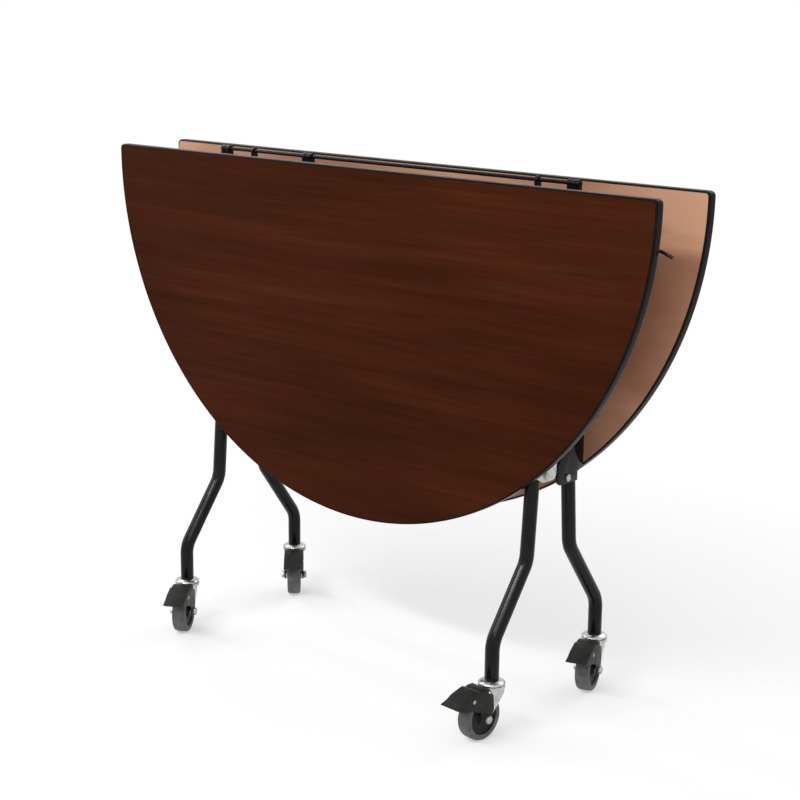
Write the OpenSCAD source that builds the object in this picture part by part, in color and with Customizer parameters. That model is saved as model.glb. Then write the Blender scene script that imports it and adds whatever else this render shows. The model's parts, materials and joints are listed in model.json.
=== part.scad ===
// Folding round room service table, stored upright on its casters.
// X runs along the joint between the two half tops, Y across the fold, Z up.
// The floor is Z = 0. Each half with its leg frame mirrors the other across
// the fold plane. Everything turns about axes that run along X.

/* [Table top] */
// Diameter of the open round top
top_diameter = 1100; // [1080:10:1130]
// Thickness of one half top
top_thickness = 16; // [14:1:20]
// Width of the black edging, measured inwards from the rim
band_width = 3; // [2.5:0.5:6]
// Radius of the two corners between the rim and the joint edge
corner_radius = 8; // [7:1:12]
// Thickness of the wood grain laminate on the serving side
laminate_thickness = 1.2; // [0.8:0.1:2]
// Thickness of the tan backing sheet on the underside
backer_thickness = 1; // [0.6:0.1:2]

/* [Folded table] */
// Height of the joint edges above the floor when folded
folded_height = 810; // [795:5:840]
// Clear gap between the undersides of the folded halves
half_gap = 116; // [114:2:128]
// Height of the hinge rod's axis above the joint edges
hinge_rise = 0.5; // [0.5:0.5:3]
// Diameter of the hinge rod
hinge_rod_d = 6; // [5.5:0.5:8]

/* [Leg frames] */
// Distance between the left and right leg tubes
leg_spacing = 668; // [650:2:690]
// Distance between the front and rear caster stems when folded
stem_spacing = 262; // [250:2:290]
// Outside diameter of the leg tube
tube_d = 22; // [20:1:24]
// Wall of the leg tube
tube_wall = 1.5; // [1.2:0.1:2]
// Centreline radius of the bends in the leg tube
bend_radius = 44; // [40:1:50]
// Distance of the leg pivot from the fold plane
pivot_y = 21.5; // [20:0.5:22.5]
// Depth of the leg pivot below the joint edge
pivot_drop = 124; // [118:1:132]
// Outward lean of the upper leg tube, in degrees
leg_lean = 4.2; // [3.4:0.1:4.3]
// Depth of the upper bend below the joint edge
upper_bend_drop = 560; // [550:2:570]
// Depth of the lower bend below the joint edge
lower_bend_drop = 667; // [664:1:670]
// Depth of the cross tube below the joint edge
cross_drop = 330; // [300:5:360]
// Diameter of the cross tube
cross_d = 19; // [16:1:20]

/* [Folding linkage] */
// Length of the yoke between the hinge rod and the stay rod
yoke_length = 90; // [80:1:100]
// Diameter of the pivot bolt at the top of each leg
pivot_bolt_d = 10; // [8:1:10]
// Diameter of the studs and of the rod that carry the stays
stay_stud_d = 8; // [6:1:10]
// Thickness of the yoke and stay plates
link_thickness = 5; // [4:0.5:5]
// Radial clearance of every running fit
running_clearance = 0.05; // [0.02:0.01:0.09]
// Radial clearance of the stay eyes on the stay rod
stay_eye_clearance = 0.5; // [0.4:0.1:0.8]
// Side clearance between neighbouring moving plates
side_clearance = 0.6; // [0.4:0.1:0.8]

/* [Fold lock] */
// Diameter of the lock rod
lock_rod_d = 5; // [4.5:0.5:6]
// Travel of the lock rod into the lock plate
lock_travel = 12; // [8:1:14]
// Length of the bent end of the lock rod that sticks out past the rim
lock_tail = 18; // [14:1:24]

/* [Casters] */
// Diameter of the wheels
wheel_d = 70; // [66:1:71]
// Width of the wheels
wheel_w = 23; // [20:1:24]
// Height of the caster, from the floor to the end of the leg tube
caster_height = 86; // [85:1:90]
// Distance from the swivel axis back to the axle
trail = 26; // [24:1:29]
// Direction in which each front caster trails, right and left, in degrees
front_trail_angles = [265, 302];
// Direction in which each rear caster trails, right and left, in degrees
rear_trail_angles = [287, 313];

/* [Hidden] */
$fn = 64;
eps = 0.01;

// Half tops, seen along Y
top_r = top_diameter / 2;
under_y = half_gap / 2;
face_y = under_y + top_thickness;
edge_z = folded_height;
arc_z = edge_z - corner_radius;
corner_x = top_r - corner_radius;
corner_steps = 8;
band_round = 2;
band_steps = 4;

// Pivots, as [y, z]
hinge_at = [0, edge_z + hinge_rise];
pivot_at = [pivot_y, edge_z - pivot_drop];
stay_rod_at = [0, hinge_at[1] - yoke_length];
stay_stud_at = [pivot_y, pivot_at[1] - yoke_length];

// Leg tube, as [y, z]
leg_x = leg_spacing / 2;
tube_r = tube_d / 2;
bore_r = tube_r - tube_wall;
stem_y = stem_spacing / 2;
leg_top_above_pivot = 14;
bend_lap = 0.4;
bend_fullness = 1.02;
drawn_height = 810; // folded height for which the depths of the bends are given
leg_share = (folded_height - caster_height) / (drawn_height - caster_height);
upper_bend_z = edge_z - upper_bend_drop * leg_share;
lower_bend_z = edge_z - lower_bend_drop * leg_share;
cross_z = edge_z - cross_drop;
function lean_y(z) = pivot_y + (pivot_at[1] - z) * tan(leg_lean);
function leg_path(over) = [
    [lean_y(pivot_at[1] + leg_top_above_pivot + over), pivot_at[1] + leg_top_above_pivot + over],
    [lean_y(upper_bend_z), upper_bend_z],
    [stem_y, lower_bend_z],
    [stem_y, caster_height - over]
];

// Plates that lie side by side along X at each leg
flange_t = 3;
cheek_t = 5;
cheek_gap = tube_r + 6;
cheek_eye_r = 12;
bracket_half_z = 30;
bracket_half_x = cheek_gap + cheek_t + 9;
bush_r = pivot_bolt_d / 2 + 2;
bush_side_gap = 0.3;
press_clearance = 0.02;
bolt_head_t = 6;
stud_plate_t = 5;
yoke_x = leg_x - tube_r - 28;
rear_stay_x = yoke_x + link_thickness / 2 + side_clearance;
front_stay_x = yoke_x - link_thickness / 2 - side_clearance - link_thickness;
link_eye_r = stay_stud_d / 2 + 5;
stay_rod_r = 5;
hinge_eye_wall = 2.5;
yoke_eye_r = hinge_rod_d / 2 + hinge_eye_wall;

// Hinge leaves: [left end of the rear leaf, side its flange points to]
leaf_t = 10;
leaf_gap = 0.5;
leaf_eye_r = hinge_rod_d / 2 + hinge_eye_wall;
leaf_flange_x = 40;
leaf_flange_z = [-53, -19];
leaf_out_x = leg_x + 26;
leaf_mid_x = -170;
rear_leaves = [[leaf_out_x - leaf_t, -1], [leaf_mid_x - leaf_t, -1], [-leaf_out_x, 1]];
front_leaves = [
    [leaf_out_x + leaf_gap, 1],
    [leaf_mid_x + leaf_gap, 1],
    [-leaf_out_x - leaf_gap - leaf_t, -1]
];
hinge_rod_half = leaf_out_x + leaf_gap + leaf_t + 1;

// Screws through the 3 mm flanges into the half tops
screw_r = 2;
screw_head_r = 4;
screw_head_h = 2.2;
screw_depth = 12;
leaf_screw_z = [-45, -27];
bracket_screw_x = bracket_half_x - 5;
bracket_screw_z = bracket_half_z - 7;

// Keeper plates beside the legs at the rim, in [y, depth below the joint edge]
keeper_gap = 4;
keeper_x = leg_x + tube_r + keeper_gap;
keeper_t = 3;
keeper_rim = corner_radius + sqrt(pow(top_r, 2) - pow(keeper_x, 2));
keeper_round = 10;
keeper_bolt_inset = [25, 9];
rear_keeper = [-7, keeper_rim + 18]; // inner edge and foot of the rear plates
front_keeper = [10, keeper_rim + 5]; // inner edge and foot of the front plates
keeper_bolt_r = 3;
keeper_flange = [24, keeper_rim - 132, keeper_rim - 82];
keeper_screw_inset = 10;
keeper_screw_depths = [keeper_flange[1] + keeper_screw_inset, keeper_flange[2] - keeper_screw_inset];

// Fold lock on the front half: the rod slides along X
lock_r = lock_rod_d / 2;
lock_rod_stand = 15;
lock_rod_drop = 74;
lock_rod_y = -under_y + lock_rod_stand;
lock_rod_z = edge_z - lock_rod_drop;
lock_hole_radius = 20;
lock_plate_r = 25;
lock_plate_t = 3;
lock_hole_clearance = 0.3;
lock_plate_x = leg_x + tube_r;
lock_pin_at = [-pivot_y - lock_hole_radius * cos(45), pivot_at[1] + lock_hole_radius * sin(45)];
lock_pin_gap = 0.6;
lock_finger_x = leg_x + cheek_gap + cheek_t + lock_travel + 1;
lock_finger_t = 3;
lock_bend_r = 15;
lock_bend_angle = 20;
lock_bend_inset = 14;
lock_bend_x = top_r - lock_bend_inset;
lock_guide_insets = [150, 50];
lock_guide_x = [for (inset = lock_guide_insets) top_r - inset];
lock_guide_t = 12;
lock_guide_wall = 4;
lock_guide_half_z = 20;
lock_guide_screw_z = 14;

// Casters, in [distance along the trail, height above the floor]
wheel_r = wheel_d / 2;
axle_at = [trail, wheel_r];
axle_r = 4;
ring_r = 20.5;
ring_top = caster_height;
ring_split = caster_height - 7;
crown_bottom = ring_split - 5;
crown_front = 18;
kingpin_r = 4;
kingpin_head_r = 7;
kingpin_head = [crown_bottom - 2.6, crown_bottom - 0.3];
stem_fit = 0.1;
stem_in_tube = 38;
fork_gap = 1;
fork_t = 2;
fork_inner = wheel_w / 2 + fork_gap;
cover_t = 2;
cover_inner = fork_inner + fork_t + 0.5;
cover_half = cover_inner + cover_t;
axle_nut_r = 6.5;
axle_nut_t = 5;
drawn_wheel_d = 70; // wheel for which the outline of the cover is given
cover_share = wheel_d / drawn_wheel_d;
function cover_point(p) = axle_at + cover_share * p;
pedal_end = cover_point([63.5, 31.3]);

// Overall box of the folded table, whose centre is put over the origin
lock_tail_end = lock_bend_x + lock_bend_r * sin(lock_bend_angle)
    + lock_tail * cos(lock_bend_angle) + lock_r * sin(lock_bend_angle);
function pedal_reach(a) = -stem_y + pedal_end[0] * sin(a) - cover_half * abs(cos(a));
box_min_y = min(pedal_reach(front_trail_angles[0]), pedal_reach(front_trail_angles[1]));
box_max_y = stem_y + ring_r;
centre_shift = [-(lock_tail_end - top_r) / 2, -(box_min_y + box_max_y) / 2, 0];

// ---------------------------------------------------------------- placing

// Moves the model so that the middle of its floor box is the origin.
module placed() { translate(centre_shift) children(); }

// Copies to the front by mirroring across the fold plane.
module front() { placed() mirror([0, 1, 0]) children(); }

// Mirrors across the middle of the table's length.
module left() { mirror([1, 0, 0]) children(); }

module both_sides() {
    children();
    left() children();
}

// Extrudes a [y, z] drawing along X, from x to x + t.
module side_plate(x, t) {
    translate([x, 0, 0]) rotate([90, 0, 90]) linear_extrude(t) children();
}

// Extrudes an [x, z] drawing along Y, from y0 to y1.
module face_plate(y0, y1) {
    translate([0, y1, 0]) rotate([90, 0, 0]) linear_extrude(y1 - y0) children();
}

// A round bar along X, centred on [y, z] at.
module x_bar(x0, x1, at, r) {
    translate([x0, at[0], at[1]]) rotate([0, 90, 0]) cylinder(h = x1 - x0, r = r);
}

// A bar along Y at [x, z], from y0 to y1.
module y_bar(y0, y1, at, r) {
    translate([at[0], y0, at[1]]) rotate([-90, 0, 0]) cylinder(h = y1 - y0, r = r);
}

// ------------------------------------------------------------- half tops

function arc_points(centre, r, from, to, steps) =
    [for (i = [0:steps]) let (a = from + (to - from) * i / steps)
        [centre[0] + r * cos(a), centre[1] + r * sin(a)]];

// Outline of a half top, set in from the rim. Drawn in [x, z].
module half_outline(inset) {
    intersection() {
        translate([0, arc_z]) circle(r = top_r - inset, $fn = 180);
        translate([-top_r, arc_z - top_r]) square([top_diameter, top_r]);
    }
    polygon(concat(
        arc_points([corner_x, arc_z], corner_radius - inset, 0, 90, corner_steps),
        arc_points([-corner_x, arc_z], corner_radius - inset, 90, 180, corner_steps)
    ));
}

// Cross-section of the edging at radius r, as [distance from centre, across the thickness].
// Its points are rounded, so that the pieces of edging meet exactly.
function thousandth(v) = round(v * 1000) / 1000;
function band_section(r) = [
    for (p = concat(
        [[-band_width, -top_thickness / 2]],
        arc_points([-band_round, band_round - top_thickness / 2], band_round, -90, 0, band_steps),
        arc_points([-band_round, top_thickness / 2 - band_round], band_round, 0, 90, band_steps),
        [[-band_width, top_thickness / 2]]
    )) [r + thousandth(p[0]), thousandth(p[1])]
];

module band_corner() {
    translate([corner_x, 0, arc_z]) rotate([90, 0, 0])
        rotate_extrude(angle = 90) polygon(band_section(corner_radius));
}

module edge_band() {
    translate([0, under_y + top_thickness / 2, 0]) {
        translate([0, 0, arc_z]) rotate([90, 180, 0])
            rotate_extrude(angle = 180, $fn = 180) polygon(band_section(top_r));
        both_sides() band_corner();
        translate([-corner_x, 0, arc_z]) rotate([90, 0, 90])
            linear_extrude(2 * corner_x) rotate([0, 0, 90]) polygon(band_section(corner_radius));
    }
}

function leaf_flange_centre(leaf) =
    leaf[1] > 0 ? leaf[0] + leaf_t + (leaf_flange_x - leaf_t) / 2
                : leaf[0] - (leaf_flange_x - leaf_t) / 2;

function leaf_screws(leaves) =
    [for (leaf = leaves, z = leaf_screw_z) [leaf_flange_centre(leaf), edge_z + z]];
function bracket_screws() =
    [for (s = [-1, 1], dx = [-1, 1], dz = [-1, 1])
        [s * (leg_x + dx * bracket_screw_x), pivot_at[1] + dz * bracket_screw_z]];
function keeper_bolt_at(end) =
    [end[0] + keeper_bolt_inset[0], edge_z - end[1] + keeper_bolt_inset[1]];
function keeper_screws() =
    [for (s = [-1, 1], d = keeper_screw_depths)
        [s * (keeper_x + keeper_t + keeper_flange[0] / 2), edge_z - d]];
function guide_screws() =
    [for (x = lock_guide_x, dz = [-1, 1])
        [x + lock_guide_t / 2, lock_rod_z + dz * lock_guide_screw_z]];

rear_screw_spots = concat(leaf_screws(rear_leaves), bracket_screws(), keeper_screws());
front_screw_spots = concat(leaf_screws(front_leaves), bracket_screws(), keeper_screws(),
    guide_screws());

module screw_holes(spots) {
    for (at = spots) y_bar(under_y - eps, under_y + screw_depth, at, screw_r + press_clearance);
}

module core(spots) {
    difference() {
        face_plate(under_y + backer_thickness, face_y - laminate_thickness)
            half_outline(band_width);
        screw_holes(spots);
    }
}

module backer(spots) {
    difference() {
        face_plate(under_y, under_y + backer_thickness) half_outline(band_width);
        screw_holes(spots);
    }
}

module laminate() {
    face_plate(face_y - laminate_thickness, face_y) half_outline(band_width);
}

module screw(at) {
    y_bar(under_y - flange_t - screw_head_h, under_y - flange_t, at, screw_head_r);
    y_bar(under_y - flange_t - eps, under_y + screw_depth, at, screw_r);
}

// Hexagonal head or nut on a bar along X.
module x_hex(x, t, at, r) {
    translate([x, at[0], at[1]]) rotate([0, 90, 0]) cylinder(h = t, r = r, $fn = 6);
}

module keeper_bolt(end) {
    at = keeper_bolt_at(end);
    x_bar(keeper_x - bolt_head_t / 2, keeper_x + keeper_t + 1, at, keeper_bolt_r);
    x_hex(keeper_x - bolt_head_t / 2, bolt_head_t / 2, at, 2 * keeper_bolt_r);
    x_hex(keeper_x + keeper_t, bolt_head_t / 2, at, 2 * keeper_bolt_r);
}

module half_fasteners(spots, end) {
    for (at = spots) screw(at);
    both_sides() keeper_bolt(end);
}

// Hinge leaf: a flange screwed to the underside, an arm and an eye round the hinge rod.
module hinge_leaf(leaf, hole_clearance) {
    arm = [
        [1 - leaf_eye_r, hinge_rise], [1 - leaf_eye_r, -14], [14, -34],
        [under_y - 8, leaf_flange_z[0]], [under_y, leaf_flange_z[0]], [under_y, leaf_flange_z[1]],
        [16, leaf_flange_z[1]], [leaf_eye_r - 1, -12], [leaf_eye_r - 1, hinge_rise]
    ];
    x0 = leaf[1] > 0 ? leaf[0] : leaf[0] + leaf_t - leaf_flange_x;
    difference() {
        union() {
            side_plate(leaf[0], leaf_t) {
                translate(hinge_at) circle(r = leaf_eye_r);
                translate([0, edge_z]) polygon(arm);
            }
            translate([x0, under_y - flange_t, edge_z + leaf_flange_z[0]])
                cube([leaf_flange_x, flange_t, leaf_flange_z[1] - leaf_flange_z[0]]);
        }
        x_bar(leaf[0] - 1, leaf[0] + leaf_t + 1, hinge_at, hinge_rod_d / 2 + hole_clearance);
        for (at = leaf_screws([leaf]))
            y_bar(under_y - flange_t - 1, under_y + 1, at, screw_r + press_clearance);
    }
}

// Clevis on the underside that holds the pivot bolt of one leg.
module pivot_bracket() {
    cheek = [
        [under_y - flange_t + eps, pivot_at[1] + bracket_half_z],
        [under_y - flange_t + eps, pivot_at[1] - bracket_half_z],
        [pivot_y, pivot_at[1] - cheek_eye_r],
        [pivot_y, pivot_at[1] + cheek_eye_r]
    ];
    difference() {
        union() {
            translate([leg_x - bracket_half_x, under_y - flange_t, pivot_at[1] - bracket_half_z])
                cube([2 * bracket_half_x, flange_t, 2 * bracket_half_z]);
            for (x = [leg_x - cheek_gap - cheek_t, leg_x + cheek_gap])
                side_plate(x, cheek_t) {
                    translate(pivot_at) circle(r = cheek_eye_r);
                    polygon(cheek);
                }
        }
        x_bar(leg_x - bracket_half_x, leg_x + bracket_half_x, pivot_at,
            pivot_bolt_d / 2 + press_clearance);
        for (at = bracket_screws())
            y_bar(under_y - flange_t - 1, under_y + 1, at, screw_r + press_clearance);
    }
}

module pivot_bolt() {
    outer = leg_x + cheek_gap + cheek_t;
    inner = leg_x - cheek_gap - cheek_t;
    x_bar(inner - bolt_head_t, outer + eps, pivot_at, pivot_bolt_d / 2);
    x_hex(outer, bolt_head_t, pivot_at, pivot_bolt_d * 0.85);
    x_hex(inner - bolt_head_t, bolt_head_t, pivot_at, pivot_bolt_d * 0.85);
}

// Plate beside the leg at the rim, with a screwed flange and a rounded lower corner.
module keeper(end) {
    outline = concat(
        [
            [under_y, -keeper_flange[1]], [under_y, 4 - keeper_rim],
            [under_y - 14, -keeper_rim - 4], [under_y - 14, -end[1]]
        ],
        arc_points([end[0] + keeper_round, -end[1] + keeper_round], keeper_round,
            270, 180, 4),
        [[end[0], -end[1] + 30], [under_y - 16, -keeper_flange[1] - 60],
            [under_y - 10, -keeper_flange[1]]]
    );
    difference() {
        union() {
            side_plate(keeper_x, keeper_t) translate([0, edge_z]) polygon(outline);
            translate([keeper_x, under_y - flange_t, edge_z - keeper_flange[2]])
                cube([keeper_t + keeper_flange[0], flange_t, keeper_flange[2] - keeper_flange[1]]);
        }
        x_bar(keeper_x - 1, keeper_x + keeper_t + 1, keeper_bolt_at(end),
            keeper_bolt_r + press_clearance);
        for (at = keeper_screws())
            y_bar(under_y - flange_t - 1, under_y + 1, at, screw_r + press_clearance);
    }
}

module hinge_bar() { x_bar(-hinge_rod_half, hinge_rod_half, hinge_at, hinge_rod_d / 2); }

// ------------------------------------------------------------- leg frames

// Solid bar of radius r along a 2D path, with round bends at the inner points.
// Each straight is drawn in the frame where the one before it ends, and laps
// into the bends, which are a little fuller so that no two surfaces coincide.
module bent_bar(path, r, bend) {
    first = path[1] - path[0];
    translate([path[0][0], path[0][1], 0]) rotate([0, 0, atan2(first[1], first[0])])
        bent_run(path, r, bend, 0);
}

module bent_run(path, r, bend, i) {
    last = len(path) - 2;
    function turn(k) = let (a = path[k] - path[k - 1], b = path[k + 1] - path[k])
        atan2(a[0] * b[1] - a[1] * b[0], a * b);
    function trim(k) = (k == 0 || k > last) ? 0 : bend * tan(abs(turn(k)) / 2);
    run = norm(path[i + 1] - path[i]) - trim(i) - trim(i + 1);
    lap_in = i == 0 ? 0 : bend_lap;
    lap_out = i == last ? 0 : bend_lap;
    translate([-lap_in, 0, 0]) rotate([0, 90, 0]) cylinder(h = run + lap_in + lap_out, r = r);
    if (i < last) {
        t = turn(i + 1);
        side = sign(t) * bend;
        translate([run, side, 0]) {
            rotate([0, 0, t > 0 ? -90 : 90 + t])
                rotate_extrude(angle = abs(t)) translate([bend, 0]) circle(r = r * bend_fullness);
            rotate([0, 0, t]) translate([0, -side, 0]) bent_run(path, r, bend, i + 1);
        }
    }
}

module leg() {
    difference() {
        translate([leg_x, 0, 0]) rotate([90, 0, 90]) difference() {
            bent_bar(leg_path(0), tube_r, bend_radius);
            bent_bar(leg_path(1), bore_r, bend_radius);
        }
        x_bar(leg_x - tube_r - 1, leg_x + tube_r + 1, pivot_at, bush_r + press_clearance);
    }
}

module leg_bush() {
    half = cheek_gap - bush_side_gap;
    difference() {
        x_bar(leg_x - half, leg_x + half, pivot_at, bush_r);
        x_bar(leg_x - half - 1, leg_x + half + 1, pivot_at, pivot_bolt_d / 2 + running_clearance);
    }
}

// Straight outer cylinder of the upper leg, used to fit things against it.
module upper_leg_envelope() {
    translate([leg_x, 0, 0]) rotate([90, 0, 90])
        translate([lean_y(upper_bend_z), upper_bend_z, 0]) rotate([0, 0, 90 + leg_lean])
        rotate([0, 90, 0]) cylinder(h = pivot_at[1] - upper_bend_z, r = tube_r);
}

module cross_tube() {
    at = [lean_y(cross_z), cross_z];
    difference() {
        x_bar(-leg_x, leg_x, at, cross_d / 2);
        x_bar(-leg_x - 1, leg_x + 1, at, cross_d / 2 - tube_wall);
        both_sides() upper_leg_envelope();
    }
}

// Lug welded to the inner side of the leg with the stud that carries a stay.
module stay_stud(stay_x) {
    lug_x = leg_x - tube_r - stud_plate_t;
    tube_y = lean_y(stay_stud_at[1]);
    side_plate(lug_x, stud_plate_t) {
        translate(stay_stud_at) circle(r = link_eye_r);
        translate([stay_stud_at[0], stay_stud_at[1] - link_eye_r])
            square([tube_y + 3 - stay_stud_at[0], 2 * link_eye_r]);
    }
    x_bar(stay_x - side_clearance / 2, lug_x + eps, stay_stud_at, stay_stud_d / 2);
    x_bar(stay_x + link_thickness + side_clearance / 2, lug_x + eps, stay_stud_at,
        stay_stud_d / 2 + 2);
}

// --------------------------------------------------------------- linkage

// Flat link between two [y, z] eyes.
module link_shape(a, b, ra, rb) {
    d = (b - a) / norm(b - a);
    n = [-d[1], d[0]];
    w = min(ra, rb);
    translate(a) circle(r = ra);
    translate(b) circle(r = rb);
    polygon([a + n * w, a - n * w, b - n * w, b + n * w]);
}

module yoke_plate() {
    difference() {
        side_plate(yoke_x - link_thickness / 2, link_thickness)
            link_shape(hinge_at, stay_rod_at, yoke_eye_r, link_eye_r);
        x_bar(yoke_x - link_thickness, yoke_x + link_thickness, hinge_at,
            hinge_rod_d / 2 + running_clearance);
        x_bar(yoke_x - link_thickness, yoke_x + link_thickness, stay_rod_at,
            stay_rod_r + press_clearance);
    }
}

module stay(x) {
    difference() {
        side_plate(x, link_thickness)
            link_shape(stay_stud_at, stay_rod_at, link_eye_r, link_eye_r);
        x_bar(x - 1, x + link_thickness + 1, stay_stud_at, stay_stud_d / 2 + running_clearance);
        x_bar(x - 1, x + link_thickness + 1, stay_rod_at, stay_rod_r + stay_eye_clearance);
    }
}

module stay_rod_bar() {
    half = rear_stay_x + link_thickness + 1;
    x_bar(-half, half, stay_rod_at, stay_rod_r);
}

// -------------------------------------------------------------- fold lock

module lock_sector() {
    pivot = [-pivot_y, pivot_at[1]];
    difference() {
        side_plate(lock_plate_x, lock_plate_t) translate(pivot) {
            circle(r = bush_r + 5);
            intersection() {
                circle(r = lock_plate_r);
                polygon(2 * lock_plate_r * [[0, 0], [1, 0.5], [1, 1], [-1, 1], [-1, 0.5]]);
            }
        }
        x_bar(lock_plate_x - 1, lock_plate_x + lock_plate_t + 1, pivot, bush_r + press_clearance);
        for (a = [45, 135])
            x_bar(lock_plate_x - 1, lock_plate_x + lock_plate_t + 1,
                pivot + lock_hole_radius * [cos(a), sin(a)], lock_r + lock_hole_clearance);
    }
}

module lock_bar() {
    rod_at = [lock_rod_y, lock_rod_z];
    tail = (lock_tail + lock_bend_r * tan(lock_bend_angle / 2))
        * [cos(lock_bend_angle), -sin(lock_bend_angle)];
    knee = [lock_bend_x + lock_bend_r * tan(lock_bend_angle / 2), lock_rod_z];
    x_bar(lock_plate_x + lock_plate_t + lock_pin_gap, lock_finger_x + eps, lock_pin_at, lock_r);
    side_plate(lock_finger_x, lock_finger_t)
        link_shape(lock_pin_at, rod_at, lock_r + 2, lock_r + 2);
    translate([0, lock_rod_y, 0]) rotate([90, 0, 0])
        bent_bar([[lock_finger_x + lock_finger_t - eps, lock_rod_z], knee, knee + tail],
            lock_r, lock_bend_r);
}

module lock_guide(x) {
    rod_at = [lock_rod_y, lock_rod_z];
    difference() {
        union() {
            translate([x, -under_y, lock_rod_z - lock_r - lock_guide_wall])
                cube([lock_guide_t, lock_rod_stand + lock_r + lock_guide_wall,
                    2 * (lock_r + lock_guide_wall)]);
            translate([x, -under_y, lock_rod_z - lock_guide_half_z])
                cube([lock_guide_t, flange_t, 2 * lock_guide_half_z]);
        }
        x_bar(x - 1, x + lock_guide_t + 1, rod_at, lock_r + running_clearance);
        for (dz = [-1, 1])
            y_bar(-under_y - 1, -under_y + flange_t + 1,
                [x + lock_guide_t / 2, lock_rod_z + dz * lock_guide_screw_z],
                screw_r + press_clearance);
    }
}

// ---------------------------------------------------------------- casters

// Puts a caster under its stem: sx is 1 on the right, sy is 1 at the rear.
module under_stem(sx, sy, trail_angle) {
    placed() translate([sx * leg_x, sy * stem_y, 0]) rotate([0, 0, trail_angle]) children();
}

// Extrudes a [trail, height] drawing sideways, from w0 to w1.
module cheek_plate(w0, w1) {
    translate([0, w1, 0]) rotate([90, 0, 0]) linear_extrude(w1 - w0) children();
}

module cross_pin(w0, w1, at, r) {
    translate([at[0], w0, at[1]]) rotate([-90, 0, 0]) cylinder(h = w1 - w0, r = r);
}

// Stem in the leg tube, upper raceway and kingpin.
module caster_mount() {
    rotate_extrude() polygon([
        [0, kingpin_head[0]], [kingpin_head_r, kingpin_head[0]],
        [kingpin_head_r, kingpin_head[1]], [kingpin_r, kingpin_head[1]],
        [kingpin_r, ring_split + 0.4], [ring_r, ring_split + 0.4],
        [ring_r, ring_top - 3.4], [ring_r - 6.5, ring_top],
        [bore_r - stem_fit, ring_top], [bore_r - stem_fit, ring_top + stem_in_tube],
        [0, ring_top + stem_in_tube]
    ]);
}

module caster_fork() {
    cheek = [
        [-14, crown_bottom + 2], [14, crown_bottom + 2], [17, crown_bottom - 6],
        [axle_at[0] + 7, axle_at[1] + 3], [axle_at[0] - 7, axle_at[1] - 3],
        [axle_at[0] - 25, axle_at[1] + 15], [-12, crown_bottom - 8]
    ];
    difference() {
        union() {
            translate([0, 0, crown_bottom]) cylinder(h = ring_split - crown_bottom, r = ring_r);
            for (w = [-fork_inner - fork_t, fork_inner])
                cheek_plate(w, w + fork_t) {
                    translate(axle_at) circle(r = 8);
                    polygon(cheek);
                }
        }
        translate([0, 0, crown_bottom - 1])
            cylinder(h = ring_split - crown_bottom + 2, r = kingpin_r + running_clearance);
        cross_pin(-cover_half, cover_half, axle_at, axle_r + press_clearance);
    }
}

module caster_axle() {
    half = cover_half + 0.3;
    cross_pin(-half - axle_nut_t, half + axle_nut_t, axle_at, axle_r);
    for (w = [-half - axle_nut_t, half])
        translate([axle_at[0], w, axle_at[1]]) rotate([-90, 0, 0])
            cylinder(h = axle_nut_t, r = axle_nut_r, $fn = 6);
}

module caster_wheel() {
    half = wheel_w / 2;
    hub_r = 11;
    rim_r = wheel_r - 9;
    recess = 3.5;
    bore = axle_r + running_clearance;
    translate([axle_at[0], 0, axle_at[1]]) rotate([-90, 0, 0]) rotate_extrude($fn = 96) polygon([
        [bore, -half], [hub_r, -half], [hub_r + 1.5, -half + recess], [rim_r - 1.5, -half + recess],
        [rim_r, -half], [wheel_r - 3, -half], [wheel_r - 0.8, -half + 1.6], [wheel_r, -half + 4],
        [wheel_r, half - 4], [wheel_r - 0.8, half - 1.6], [wheel_r - 3, half], [rim_r, half],
        [rim_r - 1.5, half - recess], [hub_r + 1.5, half - recess], [hub_r, half], [bore, half]
    ]);
}

// Black wheel cover whose outer end is the brake pedal.
module caster_brake() {
    top = crown_bottom;
    outer = concat(
        [[trail / 2, top - 4]],
        [for (p = [[-15, 12], [-6, -5], [6, -6], [13, 13], [34, 21.5], [46, 22.5], [63.5, 30.3],
            [63.5, 31.3], [51, 35.5], [42, 41], [20, 47.5], [12, 45], [8, 46.5]]) cover_point(p)],
        [[ring_r + 3, cover_point([8, 46.5])[1]], [ring_r + 2, top]]
    );
    inner = concat(
        [[-ring_r, -1], [-ring_r, top + 1], [crown_front, top + 1], [crown_front, top - 3],
            [ring_r + 4.5, top - 3], [ring_r + 5, cover_point([8, 43.5])[1]]],
        [for (p = [[12, 42], [20, 44], [36, 38.5], [41, 23.5]]) cover_point(p)],
        [[cover_point([41, 0])[0], -1]]
    );
    difference() {
        cheek_plate(-cover_half, cover_half) {
            polygon(outer);
            translate(axle_at) circle(r = 8.5);
        }
        cheek_plate(-cover_inner, cover_inner) polygon(inner);
        cross_pin(-cover_half - 1, cover_half + 1, axle_at, axle_r + running_clearance);
    }
}

// ---------------------------------------------------------------- nodes

module rear_core() { color("burlywood") placed() core(rear_screw_spots); }
module rear_laminate() { color([0.22, 0.11, 0.07]) placed() laminate(); }
module rear_backer() { color([0.72, 0.56, 0.46]) placed() backer(rear_screw_spots); }
module rear_edge_band() { color([0.09, 0.09, 0.08]) placed() edge_band(); }
module rear_hinge_leaves() {
    color([0.12, 0.12, 0.12]) placed()
        for (leaf = rear_leaves) hinge_leaf(leaf, press_clearance);
}
module rear_pivot_bracket_left() { color([0.15, 0.15, 0.15]) placed() left() pivot_bracket(); }
module rear_pivot_bracket_right() { color([0.15, 0.15, 0.15]) placed() pivot_bracket(); }
module rear_pivot_bolts() { color("silver") placed() both_sides() pivot_bolt(); }
module rear_keepers() { color([0.12, 0.12, 0.12]) placed() both_sides() keeper(rear_keeper); }
module rear_screws() { color("silver") placed() half_fasteners(rear_screw_spots, rear_keeper); }
module hinge_rod() { color([0.1, 0.1, 0.1]) placed() hinge_bar(); }

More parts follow.
